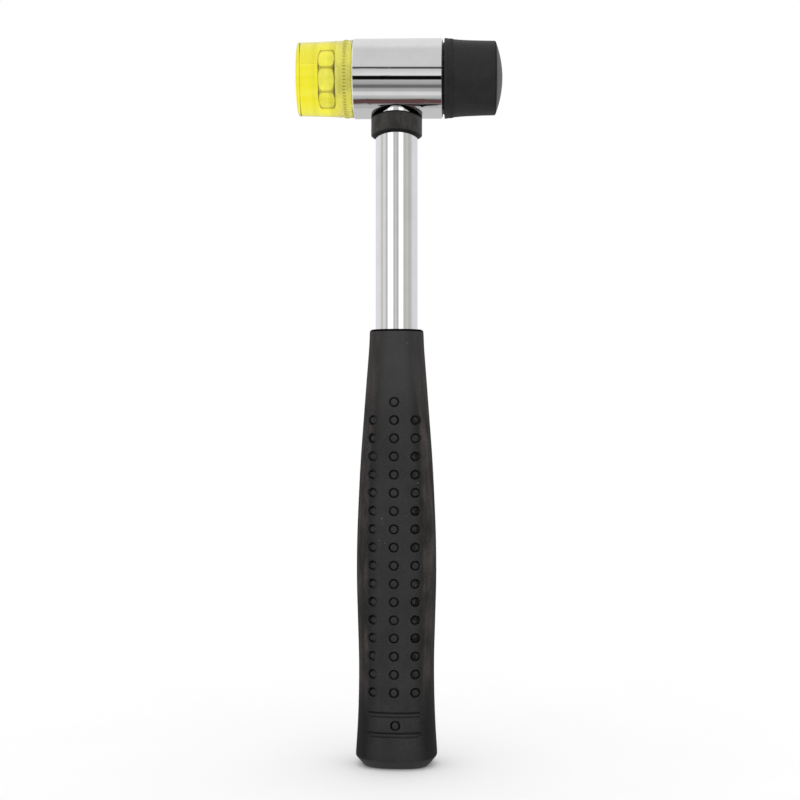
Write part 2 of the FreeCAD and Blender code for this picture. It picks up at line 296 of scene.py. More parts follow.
def collar_rubber():
    """Handled rubber with rubbed streaks, and painted shade along its rims that follows the ring's arch.
    """
    n, colour = rubber("collar_rubber", (0.010, 0.010, 0.009), (0.036, 0.034, 0.031), 0.46, 1.2)
    rubbed = n.ramp(n.noise(0.4, 5.0, 0.7, (1, 1, 0.4)), [(0.50, 0.0), (0.78, 0.28)])
    colour = n.mix(rubbed, colour, (0.15, 0.14, 0.13))
    split = n.add("ShaderNodeSeparateXYZ")
    n.link(n.coords, split.inputs["Vector"])
    y = split.outputs["Y"]
    arch = n.math("MULTIPLY", n.math("MULTIPLY", y, y), 1 / (68 * MM))
    level = n.math("SUBTRACT", split.outputs["Z"], arch)
    share = n.math("MULTIPLY", n.math("SUBTRACT", level, collar_lo.z), 1 / (7.6 * MM))
    # painted shade: the bottom and top rims are darkened, and their gloss is lowered with them
    rim_shade = n.ramp(share, [(0.03, 0.3), (0.08, 0.5), (0.13, 1.0), (0.90, 1.0), (0.96, 0.15)])
    n.link(n.mix(1.0, colour, rim_shade, "MULTIPLY"), n.shader.inputs["Base Color"])
    n.link(n.math("MULTIPLY", rim_shade, 0.34), n.shader.inputs["Specular IOR Level"])
    return n.material


def face_rubber():
    """Hard rubber with a dome made paler by a painted sheen."""
    n, colour = rubber("face_rubber", (0.012, 0.012, 0.012), (0.021, 0.021, 0.021), 0.56, 3.0)
    facing = n.add("ShaderNodeSeparateXYZ")
    n.link(n.add("ShaderNodeTexCoord").outputs["Normal"], facing.inputs["Vector"])
    # painted sheen: the dome is paler where its surface faces out along the head
    dome_sheen = n.ramp(facing.outputs["X"], [(0.86, 0.0), (0.93, 1.0)])
    colour = n.mix(dome_sheen, colour, (0.058, 0.054, 0.056))
    n.link(colour, n.shader.inputs["Base Color"])
    rim = n.ramp(facing.outputs["X"], [(0.1, 0.30), (0.3, 0.05), (0.86, 0.05), (0.95, 0.6)])
    n.link(rim, n.shader.inputs["Specular IOR Level"])
    return n.material


def grip_rubber():
    """Satin rubber in front and behind, with painted shade where the front turns sideways, rougher
    brownish flanks that are partly painted sheen and darken with painted shade towards the silhouette, a
    paler top that is painted sheen, and a painted dark line of shade along the top rim.
    """
    n = Nodes("grip_rubber")
    mottle = n.noise(0.10, 5.0, 0.65)
    base = n.ramp(mottle, [(0.3, (0.0175, 0.0175, 0.0177)), (0.72, (0.0265, 0.0262, 0.0266))])
    facing = n.add("ShaderNodeSeparateXYZ")
    n.link(n.add("ShaderNodeTexCoord").outputs["Normal"], facing.inputs["Vector"])
    sideways = n.math("ABSOLUTE", facing.outputs["X"])
    # painted shade: the front darkens as the surface turns sideways
    turned = n.ramp(sideways, [(0.0, 1.0), (0.25, 0.9), (0.45, 0.6), (0.60, 0.5), (1.0, 0.4)])
    front = n.mix(1.0, base, turned, "MULTIPLY")
    streaks = n.noise(0.45, 4.0, 0.65, (1, 1, 0.12))
    blotch = n.noise(0.16, 4.0, 0.6, (1, 1, 0.5))
    worn = n.math("MULTIPLY", streaks, blotch)
    # the paler brownish flank tone is partly rougher texture and partly painted sheen
    flank = n.ramp(worn, [(0.16, (0.018, 0.017, 0.016)), (0.38, (0.060, 0.052, 0.049))])
    # painted shade: the flank darkens towards the silhouette
    flank = n.mix(1.0, flank, n.ramp(sideways, [(0.6, 1.0), (0.93, 0.85), (1.0, 0.35)]), "MULTIPLY")
    ragged = n.math("ADD", sideways, n.math("MULTIPLY_ADD", blotch, 0.22, -0.11))
    mask = n.ramp(ragged, [(0.50, 0.0), (0.66, 1.0)])
    height = n.add("ShaderNodeSeparateXYZ")
    n.link(n.coords, height.inputs["Vector"])

    def rise(low, high):
        node = n.add("ShaderNodeMapRange", interpolation_type="SMOOTHSTEP")
        node.inputs["From Min"].default_value = low * MM
        node.inputs["From Max"].default_value = high * MM
        n.link(height.outputs["Z"], node.inputs["Value"])
        return node.outputs["Result"]

    mask = n.math("MULTIPLY", mask, rise(16, 42))
    mask = n.math("MULTIPLY", mask, n.math("MULTIPLY_ADD", rise(120, 150), -0.45, 1.0))
    colour = n.mix(mask, front, flank)
    grain = n.ramp(n.noise(1.3, 3.0, 0.65), [(0.35, 0.82), (0.65, 1.18)])
    colour = n.mix(1.0, colour, grain, "MULTIPLY")
    # painted sheen: the tapering upper grip is paler
    painted_top_sheen = n.math("MULTIPLY", rise(123, 153), 0.28)
    colour = n.mix(painted_top_sheen, colour, (0.075, 0.071, 0.069))
    # painted shade: a dark line along the top rim
    colour = n.mix(rise(164.0, 164.35), colour, (0.002, 0.002, 0.002))
    speck = n.ramp(n.noise(0.9, 2.0, 0.4), [(0.765, 0.0), (0.80, 0.4)])
    colour = n.mix(speck, colour, (0.30, 0.28, 0.26))
    n.link(colour, n.shader.inputs["Base Color"])
    gloss = n.ramp(sideways, [(0.0, 0.38), (0.25, 0.34), (0.5, 0.18), (0.62, 0.10), (1.0, 0.02)])
    gloss = n.mix(rise(164.0, 164.35), gloss, (0.0, 0.0, 0.0))
    n.link(gloss, n.shader.inputs["Specular IOR Level"])
    n.link(n.math("MULTIPLY_ADD", mottle, 0.16, 0.42), n.shader.inputs["Roughness"])
    soft = n.bump(mottle, 0.0001, 0.25)
    n.link(n.bump(n.noise(2.6, 4.0, 0.7), 0.00005, 0.5, soft), n.shader.inputs["Normal"])
    return n.material


def clear_plastic():
    """Transparent yellow plastic, polished in front and frosted on the band next to the head."""
    n = Nodes("clear_yellow_plastic")
    n.set(IOR=1.55)
    split = n.add("ShaderNodeSeparateXYZ")
    n.link(n.coords, split.inputs["Vector"])
    frost_start = HEAD_MID - HEAD_HALF - 6.0 * MM
    frost = n.add("ShaderNodeMapRange", interpolation_type="SMOOTHSTEP")
    frost.inputs["From Min"].default_value = frost_start - 0.2 * MM
    frost.inputs["From Max"].default_value = frost_start + 0.2 * MM
    n.link(split.outputs["X"], frost.inputs["Value"])
    # painted bands of lighter and darker shade along the face, from its flat front to the head
    along = n.add("ShaderNodeMapRange")
    along.inputs["From Min"].default_value = clear_lo.x
    along.inputs["From Max"].default_value = clear_hi.x
    n.link(split.outputs["X"], along.inputs["Value"])
    band_shades = ((0.0, 1.0), (0.04, 0.95), (0.07, 1.0), (0.11, 0.93), (0.15, 0.93), (0.19, 1.0),
             (0.22, 0.98), (0.25, 0.91), (0.30, 0.88), (0.33, 0.88), (0.36, 1.0), (0.56, 1.0),
             (0.60, 0.86), (0.71, 0.83))
    stops = [(p, (t, 0.99 * t, 0.60 * t)) for p, t in band_shades]
    body = n.ramp(along.outputs["Result"], stops)
    speckle = n.noise(1.3, 3.0, 0.6)
    pale = n.ramp(speckle, [(0.35, (0.92, 0.88, 0.17)), (0.65, (1.0, 0.98, 0.29))])
    # painted shade in the valleys between the moulded ribs of the frosted band
    above = n.math("SUBTRACT", split.outputs["Z"], HEAD_Z)
    around = n.math("MULTIPLY", n.math("ARCTAN2", split.outputs["Y"], above), RIB_COUNT)
    valley_shade = n.ramp(n.math("MULTIPLY_ADD", n.math("COSINE", around), 0.5, 0.5), [(0.30, 1.0), (0.75, 0.0)])
    rib_share = [(0.835, 0.0), (0.85, 1.0), (0.89, 1.0), (0.905, 0.0)]
    valley_shade = n.math("MULTIPLY", valley_shade, n.ramp(along.outputs["Result"], rib_share))
    pale = n.mix(valley_shade, pale, (0.56, 0.52, 0.10))
    n.link(n.mix(frost.outputs["Result"], body, pale), n.shader.inputs["Base Color"])
    n.link(n.math("MULTIPLY_ADD", frost.outputs["Result"], -0.38, 0.97),
           n.shader.inputs["Transmission Weight"])
    frosted = n.math("MULTIPLY_ADD", speckle, 0.12, 0.16)
    rough = n.math("MULTIPLY_ADD", frost.outputs["Result"], frosted, 0.03)
    n.link(rough, n.shader.inputs["Roughness"])
    wave = n.bump(n.noise(0.14, 2.0), 0.00005, 0.3)
    pitted = n.math("MULTIPLY", frost.outputs["Result"], speckle)
    n.link(n.bump(pitted, 0.00004, 0.4, wave), n.shader.inputs["Normal"])
    tint = n.add("ShaderNodeVolumeAbsorption")
    tint.inputs["Color"].default_value = (0.974, 0.952, 0.02, 1.0)
    tint.inputs["Density"].default_value = 130.0
    n.link(tint.outputs["Volume"], n.output.inputs["Volume"])
    return n.material


def zinc(name, tone, nut_middle=None):
    """Bright zinc plate on a stud, or on a nut with painted shade towards the corners and ends of its
    flats all round.
    """
    n = Nodes(name)
    n.set(Metallic=1.0)
    blotch = n.noise(0.35, 4.0, 0.6)
    colour = n.ramp(blotch, [(0.3, tone), (0.75, tuple(0.85 * t for t in tone))])
    if nut_middle is not None:
        split = n.add("ShaderNodeSeparateXYZ")
        n.link(n.coords, split.inputs["Vector"])
        above = n.math("SUBTRACT", split.outputs["Z"], HEAD_Z)
        reach = n.math("ADD", n.math("POWER", above, 2.0), n.math("POWER", split.outputs["Y"], 2.0))
        corner = n.math("MULTIPLY_ADD", n.math("SQRT", reach), 1 / MM, -NUT_FLAT / MM)
        end = n.math("ABSOLUTE", n.math("SUBTRACT", split.outputs["X"], nut_middle))
        end = n.math("POWER", n.math("MULTIPLY", end, 1 / NUT_HALF), 5.0)
        shade_reach = n.math("MULTIPLY_ADD", end, 1.3, corner)
        # painted shade: the flats darken towards the hex corners and the nut's two ends
        colour = n.mix(n.ramp(shade_reach, [(0.66, 0.0), (0.95, 1.0)]), colour, (0.50, 0.46, 0.18))
    n.link(colour, n.shader.inputs["Base Color"])
    n.link(n.math("MULTIPLY_ADD", blotch, 0.2, 0.06), n.shader.inputs["Roughness"])
    n.link(n.bump(n.noise(1.6, 4.0, 0.7), 0.00003, 0.5), n.shader.inputs["Normal"])
    return n.material


CHROME_HEAD = chrome("chrome_head", (0.90, 0.90, 0.90), (0.15, 1, 1))
CHROME_TUBE = chrome("chrome_tube", (0.90, 0.90, 0.90), (1, 1, 0.1))
COLLAR_RUBBER = collar_rubber()
GRIP_RUBBER = grip_rubber()
FACE_RUBBER = face_rubber()
CLEAR_YELLOW = clear_plastic()
ZINC_NUT = {node: zinc("zinc_nut_" + node, (1.0, 1.0, 0.97), middle)
            for node, middle in NUT_MIDDLES.items()}
ZINC_STUD = zinc("zinc_stud", (0.78, 0.77, 0.73))


# ---------------------------------------------------------------- head and handle
def make_barrel():
    """Turned bar with blind stud holes and the bevelled mouth of the tube's socket."""
    hole_r = 4.1 * MM
    hole_end = HEAD_HALF - 7.8 * MM
    edge = 0.5 * MM
    segments = 240
    across = 32                             # grid steps from the socket's middle to its patch edge
    patch = 11.0 * MM
    half = [(hole_end, 0.0), (hole_end, hole_r), (HEAD_HALF - 0.3 * MM, hole_r),
            (HEAD_HALF, hole_r + 0.3 * MM), (HEAD_HALF, HEAD_R - edge)]
    half += [(HEAD_HALF - edge, HEAD_R), (HEAD_HALF - 1.5 * MM, HEAD_R)]
    profile = [(d + HEAD_MID, r) for d, r in half]
    first = len(profile)
    profile += [(patch - i * patch / across, HEAD_R) for i in range(2 * across + 1)]
    profile += [(HEAD_MID - d, r) for d, r in reversed(half)]
    verts = []
    rows = []
    for x, radius in profile:
        row = []
        for i in range(segments):
            angle = math.radians(-90 + 360 * (i - across) / segments)
            row.append(len(verts))
            verts.append(Vector((x, -radius * math.cos(angle), HEAD_Z + radius * math.sin(angle))))
        rows.append(row)
    faces = []
    for k, (low, high) in enumerate(zip(rows, rows[1:])):
        for i in range(segments):
            if first <= k < first + 2 * across and i < 2 * across:
                continue
            j = (i + 1) % segments
            faces.append([low[i], low[j], high[j], high[i]])
    side = 2 * across
    loop = [rows[first + i][0] for i in range(side)]
    loop += [rows[first + side][i] for i in range(side)]
    loop += [rows[first + side - i][side] for i in range(side)]
    loop += [rows[first][side - i] for i in range(side)]
    count = len(loop)
    square = [verts[i].copy() for i in loop]
    start = math.atan2(square[0].y, square[0].x)
    turn = 1 if math.atan2(square[1].y, square[1].x) > start else -1

    def ring(radius, rise, share=1.0):
        """A round loop on the bar's underside, sunk into it by rise."""
        new = []
        for k in range(count):
            angle = start + turn * 2 * math.pi * k / count
            x = square[k].x + share * (radius * math.cos(angle) - square[k].x)
            y = square[k].y + share * (radius * math.sin(angle) - square[k].y)
            new.append(len(verts))
            verts.append(Vector((x, y, HEAD_Z - math.sqrt(HEAD_R**2 - y**2) + rise)))
        return new

    mouth = TUBE_R + 1.0 * MM
    loops = [loop] + [ring(mouth + 0.12 * MM, 0, share) for share in (0.25, 0.5, 0.75, 1.0)]
    loops += [ring(mouth, 0.03 * MM), ring(mouth - 0.1 * MM, 0.12 * MM)]
    loops += [ring(TUBE_R + 0.05 * MM, 1.0 * MM), ring(TUBE_R + 0.02 * MM, 1.3 * MM)]
    loops += [ring(TUBE_R + 0.02 * MM, 4.0 * MM)]
    for outer, inner in zip(loops, loops[1:]):
        for k in range(count):
            m = (k + 1) % count
            faces.append([outer[k], outer[m], inner[m], inner[k]])
    faces.append(list(loops[-1]))
    piece = mesh_object("barrel_shell", verts, faces, smooth_angle=25)
    dress(piece, CHROME_HEAD)
    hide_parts("head_barrel")
    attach(piece, "tool")


def make_tube():
    """Drawn tube, open at both ends."""
    wall = 1.5 * MM
    ease = 0.2 * MM
    low, high = tube_lo.z, tube_hi.z
    profile = [(low + ease, TUBE_R), (low + (high - low) / 3, TUBE_R),
               (low + 2 * (high - low) / 3, TUBE_R), (high - ease, TUBE_R), (high, TUBE_R - ease),
               (high, TUBE_R - wall), (low, TUBE_R - wall), (low, TUBE_R - ease),
               (low + ease, TUBE_R)]
    piece = lathe("tube_shell", profile, 192, round_handle, smooth_angle=25)
    dress(piece, CHROME_TUBE)
    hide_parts("handle_tube")
    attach(piece, "tool")


def make_collar():
    """Soft ring whose top and bottom follow the round head."""
    outer = collar_hi.x
    bottom = collar_lo.z
    height = 7.6 * MM
    saddle_r = 34.0 * MM
    profile = [(bottom + 0.15 * MM, TUBE_R + 0.02 * MM), (bottom, TUBE_R + 0.12 * MM)]
    profile += [(bottom + 0.05 * MM, outer - 0.95 * MM), (bottom + 0.2 * MM, outer - 0.75 * MM),
                (bottom + 0.65 * MM, outer - 0.18 * MM), (bottom + 0.95 * MM, outer)]
    profile += [(bottom + height / 2, outer)]
    profile += corner_arc((bottom + height - 0.35 * MM, outer - 0.35 * MM), 0.35 * MM, 90, 0, 4)
    profile += [(bottom + height, TUBE_R + 0.12 * MM), (bottom + height - 0.15 * MM, TUBE_R + 0.02 * MM)]
    profile += [profile[0]]

    def place(distance, radius, angle):
        y = radius * math.sin(angle)
        lift = saddle_r - math.sqrt(saddle_r**2 - y**2)
        return (radius * math.cos(angle), y, distance + lift)

    piece = lathe("collar_ring", profile, 128, place, smooth_angle=35)
    dress(piece, COLLAR_RUBBER)
    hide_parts("tube_collar")
    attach(piece, "tool")


# ---------------------------------------------------------------- grip
# height, half width, half depth and squareness of the cross-section, butt to top, millimetres
GRIP_SECTIONS = [
    (3.8, 15.45, 12.60, 2.6), (16.0, 14.70, 12.15, 2.6), (28.0, 14.30, 11.90, 2.6),
    (40.0, 14.25, 11.90, 2.6), (55.0, 14.65, 12.20, 2.6), (70.0, 15.05, 12.40, 2.6),
    (85.0, 14.95, 12.40, 2.6), (100.0, 14.40, 12.20, 2.6), (115.5, 13.60, 11.90, 2.55),
    (131.0, 12.50, 11.40, 2.4), (146.0, 11.40, 10.80, 2.2), (158.0, 10.50, 10.30, 2.05),
    (165.0, 10.20, 10.20, 2.0),
]
SECTION_CURVE = smooth_curve(GRIP_SECTIONS, 12)
DIMPLE_PITCH_Z = 6.785
DIMPLE_PITCH_X = 8.1
DIMPLE_LOWEST = 29.0
DIMPLE_ROWS = 17
LONE_DIMPLE = 16.8
BAR_HEIGHTS = (13.3, 20.8)
BAR_HALF = 9.7
GRIP_TURN = -3.0                # degrees the sleeve sits turned on its tube
CELL = 8                        # grid steps along each side of a dimple's square cell
FLANK_STEPS = 14
# radius and height of the loops that draw one dimple: rim, groove, pip
DIMPLE_LOOPS = [
    (2.20, 0.0), (1.98, -0.02), (1.87, -0.14), (1.80, -0.60), (1.72, -1.00), (1.62, -1.12),
    (1.48, -1.08), (1.40, -0.90), (1.34, -0.30), (1.26, -0.07), (0.90, 0.0), (0.40, 0.03),
]
PIP_START = 9                   # the loops from here on are the pip's top
# offset from a bar's middle and height there: narrow groove, bar, deep upper groove
BAR_LINES = [
    (-1.15, 0.0), (-1.02, -0.04), (-0.92, -0.30), (-0.76, -0.34), (-0.60, 0.0), (-0.46, 0.22),
    (0.0, 0.34), (0.28, 0.26), (0.40, -0.10), (0.48, -0.90), (0.86, -0.90), (0.96, -0.12), (1.15, 0.0),
]


def section_at(z):
    """Half width, half depth and squareness of the grip at a height in millimetres."""
    if z <= SECTION_CURVE[0][0]:
        return SECTION_CURVE[0][1:]
    for low, high in zip(SECTION_CURVE, SECTION_CURVE[1:]):
        if z <= high[0]:
            t = (z - low[0]) / (high[0] - low[0])
            return tuple(l + t * (h - l) for l, h in zip(low[1:], high[1:]))
    return SECTION_CURVE[-1][1:]


def panel_y(x, section):
    half_width, half_depth, squareness = section
    inside = max(1 - (abs(x) / half_width) ** squareness, 0.0)
    return -half_depth * inside ** (1 / squareness)


def panel_point(x, z, height, section):
    """A point on the front panel, raised by height along the surface's normal."""
    y = panel_y(x, section)
    if height:
        step = 0.02
        slope_x = (panel_y(x + step, section) - panel_y(x - step, section)) / (2 * step)
        above = panel_y(x, section_at(z + step))
        below = panel_y(x, section_at(z - step))
        slope_z = (above - below) / (2 * step)
        normal = Vector((slope_x, -1.0, slope_z)).normalized()
        return Vector((x, y, z)) + normal * height
    return Vector((x, y, z))


def flank_point(t, z, section):
    """A point on the right flank, t from 0 at the front panel's edge to 1 at the back's."""
    half_width, half_depth, squareness = section
    edge_x = PANEL_SHARE * half_width
    start = math.atan2(panel_y(edge_x, section), edge_x)
    angle = start * (1 - 2 * t)
    c, s = math.cos(angle), math.sin(angle)
    across = abs(c / half_width) ** squareness + abs(s / half_depth) ** squareness
    radius = across ** (-1 / squareness)
    return Vector((radius * c, radius * s, z))


PANEL_SHARE = 0.88              # how much of the half width the front panel takes


def panel_x(column, section, near_bars=False):
    """The x of a grid line on the panel: three cells across, the middle one a full pitch wide."""
    inner = min(DIMPLE_PITCH_X / 2, 0.34 * section[0])
    edge = PANEL_SHARE * section[0]
    cell = min(column // CELL, 2)
    t = column / CELL - cell
    if near_bars and cell != 1:
        bar_steps = (0.0, 0.2, 0.4, 0.6, 0.625, 0.655, 0.8, 0.9, 1.0)
        t = bar_steps[round(t * CELL)] if cell == 2 else 1 - bar_steps[round((1 - t) * CELL)]
    if cell == 0:
        return -edge + t * (edge - inner)
    if cell == 1:
        return -inner + t * 2 * inner
    return inner + t * (edge - inner)


def bar_height(x, z):
    """Height of the raised bars and their side grooves at a point of the panel."""
    ends = 1 - smoothstep(BAR_HALF - 0.15, BAR_HALF + 0.15, abs(x))
    for middle in BAR_HEIGHTS:
        for (o0, h0), (o1, h1) in zip(BAR_LINES, BAR_LINES[1:]):
            if middle + o0 <= z <= middle + o1:
                t = (z - middle - o0) / (o1 - o0)
                return ends * (h0 + t * (h1 - h0))
    return 0.0


def grip_rings():
    """Heights and cross-sections of all grid rings, and which rows of cells hold dimples."""
    rings = []
    dimple_rows = []

    def add(z, section=None):
        rings.append((z, section or section_at(z)))

    def span(low, high, steps):
        for i in range(1, steps + 1):
            add(low + (high - low) * i / steps)

    half_width, half_depth, squareness = section_at(3.8)
    for z, inset in ((0.0, 3.55), (0.06, 3.25), (0.25, 2.95), (3.35, 0.42), (3.65, 0.17), (4.0, 0.04)):
        add(z, (half_width - inset, half_depth - inset, squareness))
    span(4.0, BAR_HEIGHTS[0] + BAR_LINES[0][0], 8)
    for offset, _ in BAR_LINES[1:]:
        add(BAR_HEIGHTS[0] + offset)
    low = rings[-1][0]
    high = BAR_HEIGHTS[1] + BAR_LINES[0][0]
    dimple_rows.append((len(rings) - 1, LONE_DIMPLE, (1,)))
    span(low, high, CELL)
    for offset, _ in BAR_LINES[1:]:
        add(BAR_HEIGHTS[1] + offset)
    start = DIMPLE_LOWEST - DIMPLE_PITCH_Z / 2
    span(rings[-1][0], start, 4)
    for row in range(DIMPLE_ROWS):
        columns = (0, 1, 2) if row < DIMPLE_ROWS - 1 else (1,)
        dimple_rows.append((len(rings) - 1, DIMPLE_LOWEST + row * DIMPLE_PITCH_Z, columns))
        base = start + row * DIMPLE_PITCH_Z
        span(base, base + DIMPLE_PITCH_Z, CELL)
    span(rings[-1][0], 163.9, 26)
    top_width, top_depth, top_square = section_at(164.0)
    for z, inset in ((164.3, 0.06), (164.6, 0.22), (164.85, 0.48), (165.0, 0.85)):
        add(z, (top_width - inset, top_depth - inset, top_square))
    bore = (TUBE_R / MM + 0.01,) * 2 + (2.0,)
    for z in (165.0, 164.7, 110.0, 60.0, 4.5):
        add(z, bore)
    return rings, dimple_rows


def dimple_patch(grid, first_ring, cell, middle_z, chance, verts, faces):
    """Fills one square cell with loops that turn from the square to a round groove and pip.

    The left column's grooves are deepest on their outer side and fade towards the middle. The
    right column's pips are sunk by differing amounts.
    """
    left = cell * CELL
    loop = [grid[first_ring][left + i] for i in range(CELL)]
    loop += [grid[first_ring + i][left + CELL] for i in range(CELL)]
    loop += [grid[first_ring + CELL][left + CELL - i] for i in range(CELL)]
    loop += [grid[first_ring + CELL - i][left] for i in range(CELL)]
    middle_x = (cell - 1) * DIMPLE_PITCH_X
    if middle_z == LONE_DIMPLE:
        middle_x = 0.5
    count = len(loop)
    sunk = {0: 0.05, 1: 0.0, 2: chance.choice((0.45, 0.7, 0.9, 1.0))}[cell]
    sunk += chance.uniform(-0.03, 0.08)
    lean = chance.uniform(0, 2 * math.pi)

    def ring_point(k, radius):
        angle = math.radians(-135 + 360 * k / count)
        return middle_x + radius * math.cos(angle), middle_z + radius * math.sin(angle)

    square = [(verts[i].x, verts[i].z) for i in loop]
    loops = [loop]
    outer_r = DIMPLE_LOOPS[0][0]
    for share in (0.4, 0.75):
        new = []
        for k, (sx, sz) in enumerate(square):
            cx, cz = ring_point(k, outer_r)
            x, z = sx + share * (cx - sx), sz + share * (cz - sz)
            new.append(len(verts))
            verts.append(panel_point(x, z, 0.0, section_at(z)))
        loops.append(new)
    for number, (radius, height) in enumerate(DIMPLE_LOOPS):
        new = []
        pip = number >= PIP_START - 3
        radius *= (0.84, 1.0, 0.94)[cell] if pip else 1.0
        shift = (0.26, 0.0, -0.08)[cell] if pip else 0.0
        for k in range(count):
            x, z = ring_point(k, radius)
            x += shift
            angle = math.radians(-135 + 360 * k / count)
            depth = height
            if number < PIP_START:
                side = (0.95 - 0.85 * math.cos(angle), 1.0, 1.2)[cell]
                depth *= side + 0.12 * math.cos(angle - lean)
            else:
                depth -= sunk * (1 + 0.5 * math.cos(angle - lean))
            new.append(len(verts))
            verts.append(panel_point(x, z, depth, section_at(z)))
        loops.append(new)
    for outer, inner in zip(loops, loops[1:]):
        for k in range(count):
            m = (k + 1) % count
            faces.append([outer[k], outer[m], inner[m], inner[k]])
    centre = len(verts)
    verts.append(panel_point(middle_x, middle_z, DIMPLE_LOOPS[-1][1] - sunk, section_at(middle_z)))
    for k in range(count):
        faces.append([loops[-1][k], loops[-1][(k + 1) % count], centre])


def make_grip():
    """Moulded sleeve: half of it is laid out, then turned half a circle for the other half."""
    rings, dimple_rows = grip_rings()
    columns = 3 * CELL + FLANK_STEPS
    verts = []
    grid = []
    for z, section in rings:
        row = []
        for column in range(columns + 1):
            row.append(len(verts))
            if column <= 3 * CELL:
                x = panel_x(column, section, 8.0 < z < 23.5)
                height = bar_height(x, z)
                verts.append(panel_point(x, z, height, section))
            else:
                verts.append(flank_point((column - 3 * CELL) / FLANK_STEPS, z, section))
        grid.append(row)
    chance = random.Random(7)
    held = set()
    for first, _, cells in dimple_rows:
        for cell in cells:
            held.update((first + i, cell * CELL + j) for i in range(CELL) for j in range(CELL))
    faces = []
    for i in range(len(rings) - 1):
        for j in range(columns):
            if (i, j) not in held:
                faces.append([grid[i][j], grid[i][j + 1], grid[i + 1][j + 1], grid[i + 1][j]])
    for first, middle_z, cells in dimple_rows:
        for cell in cells:
            dimple_patch(grid, first, cell, middle_z, chance, verts, faces)
    for ring_index in (0, len(rings) - 1):
        centre = len(verts)
        verts.append(Vector((0, 0, rings[ring_index][0])))
        ring = grid[ring_index]
        for j in range(columns):
            faces.append([ring[j], ring[j + 1], centre])
    used = sorted({v for face in faces for v in face})
    number = {v: i for i, v in enumerate(used)}
    half = [verts[v] * MM for v in used]
    turn = math.radians(GRIP_TURN)
    half = [Vector((v.x * math.cos(turn) - v.y * math.sin(turn),
                    v.x * math.sin(turn) + v.y * math.cos(turn), v.z)) for v in half]
    turned = [Vector((-v.x, -v.y, v.z)) for v in half]
    half_faces = [[number[v] for v in face] for face in faces]
    count = len(half)
    all_faces = half_faces + [[v + count for v in face] for face in half_faces]
    piece = mesh_object("grip_moulding", half + turned, all_faces, smooth_angle=60)
    dress(piece, GRIP_RUBBER)
    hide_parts("grip_sleeve")
    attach(piece, "tool")


# ---------------------------------------------------------------- faces


def ribs(start, end, height):
    """A ring of small moulded ribs for the fingers, as extra radius."""
    def extra(distance, radius, angle):
        along = smoothstep(start - 0.2 * MM, start + 0.1 * MM, distance)
        along *= 1 - smoothstep(end - 0.1 * MM, end + 0.2 * MM, distance)
        wave = smoothstep(0.15, 0.85, math.cos(RIB_COUNT * angle))
        return height * along * wave
    return extra


def face_side(knots, rib_start, rib_end):
    """Side curve of a face with closely spaced points where the ribs are."""
    points = [(d * MM, r * MM) for d, r in smooth_curve(knots, 8)]
    lines = [rib_start - 0.2 * MM, rib_start - 0.05 * MM, rib_start + 0.1 * MM]
    lines += [rib_end - 0.1 * MM, rib_end + 0.05 * MM, rib_end + 0.2 * MM]
    for distance in lines:
        for low, high in zip(points, points[1:]):
            if low[0] < distance < high[0]:
                t = (distance - low[0]) / (high[0] - low[0])
                points.append((distance, low[1] + t * (high[1] - low[1])))
                points.sort()
                break
    return points


def make_clear_face():
    """Clear plastic face, moulded solid round its nut, so it has no hollow of its own."""
    front = HEAD_MID - clear_lo.x
    back = HEAD_MID - clear_hi.x
    edge = 0.25 * MM
    rib_start, rib_end = HEAD_HALF + 1.9 * MM, HEAD_HALF + 3.4 * MM
    knots = [(back / MM, 14.62), (21.45, 14.32), (29.0, 13.98), ((front - edge) / MM, 13.75)]
    side = face_side(knots, rib_start, rib_end)
    front_r = 13.75 * MM
    profile = [(back, 0.0), (back, side[0][1] * 0.5), (back, side[0][1] - 0.2 * MM)]
    profile += [(back + 0.15 * MM, side[0][1])] + side[1:]
    profile += corner_arc((front - edge, front_r - edge), edge, 80, 0, 6)
    profile += [(front, front_r * 0.6), (front, front_r * 0.3), (front, 0.0)]
    piece = lathe("clear_face_moulding", profile, 576, round_head(-1),
                  ribs(rib_start, rib_end, 0.22 * MM), smooth_angle=35)
    dress(piece, CLEAR_YELLOW)
    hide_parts("clear_face")
    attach(piece, "clear_face_turn")


def make_rubber_face():
    """Rubber face with a full-width lip, a waisted side and a domed front."""
    back = rubber_lo.x - HEAD_MID
    apex = rubber_hi.x - HEAD_MID
    rim = 36.4 * MM
    edge = 0.8 * MM
    rim_r = 13.85 * MM
    lip_end = back + 1.25 * MM
    rib_start, rib_end = HEAD_HALF + 2.6 * MM, HEAD_HALF + 3.8 * MM
    knots = [(lip_end / MM, 15.0), (20.6, 14.62), (24.4, 14.25), (30.4, 14.0), (rim / MM, 13.85)]
    side = face_side(knots, rib_start, rib_end)
    profile = [(back, 0.0), (back, 13.3 * MM), (back + 0.5 * MM, 13.5 * MM)]
    profile += [(back + 0.55 * MM, 14.9 * MM), (back + 0.65 * MM, 15.0 * MM)] + side
    profile += corner_arc((rim, rim_r - edge), edge, 78, 40, 3)
    dome_edge = rim + edge
    dome_r = rim_r - edge
    crown = apex - dome_edge
    for i in range(12):
        share = 1 - (i + 0.6) / 12
        profile.append((dome_edge + crown * (1 - share**2), dome_r * share))
    profile.append((apex, 0.0))
    piece = lathe("rubber_face_moulding", profile, 576, round_head(1),
                  ribs(rib_start, rib_end, 0.12 * MM), smooth_angle=35)
    dress(piece, FACE_RUBBER)
    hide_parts("rubber_face")
    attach(piece, "rubber_face_turn")


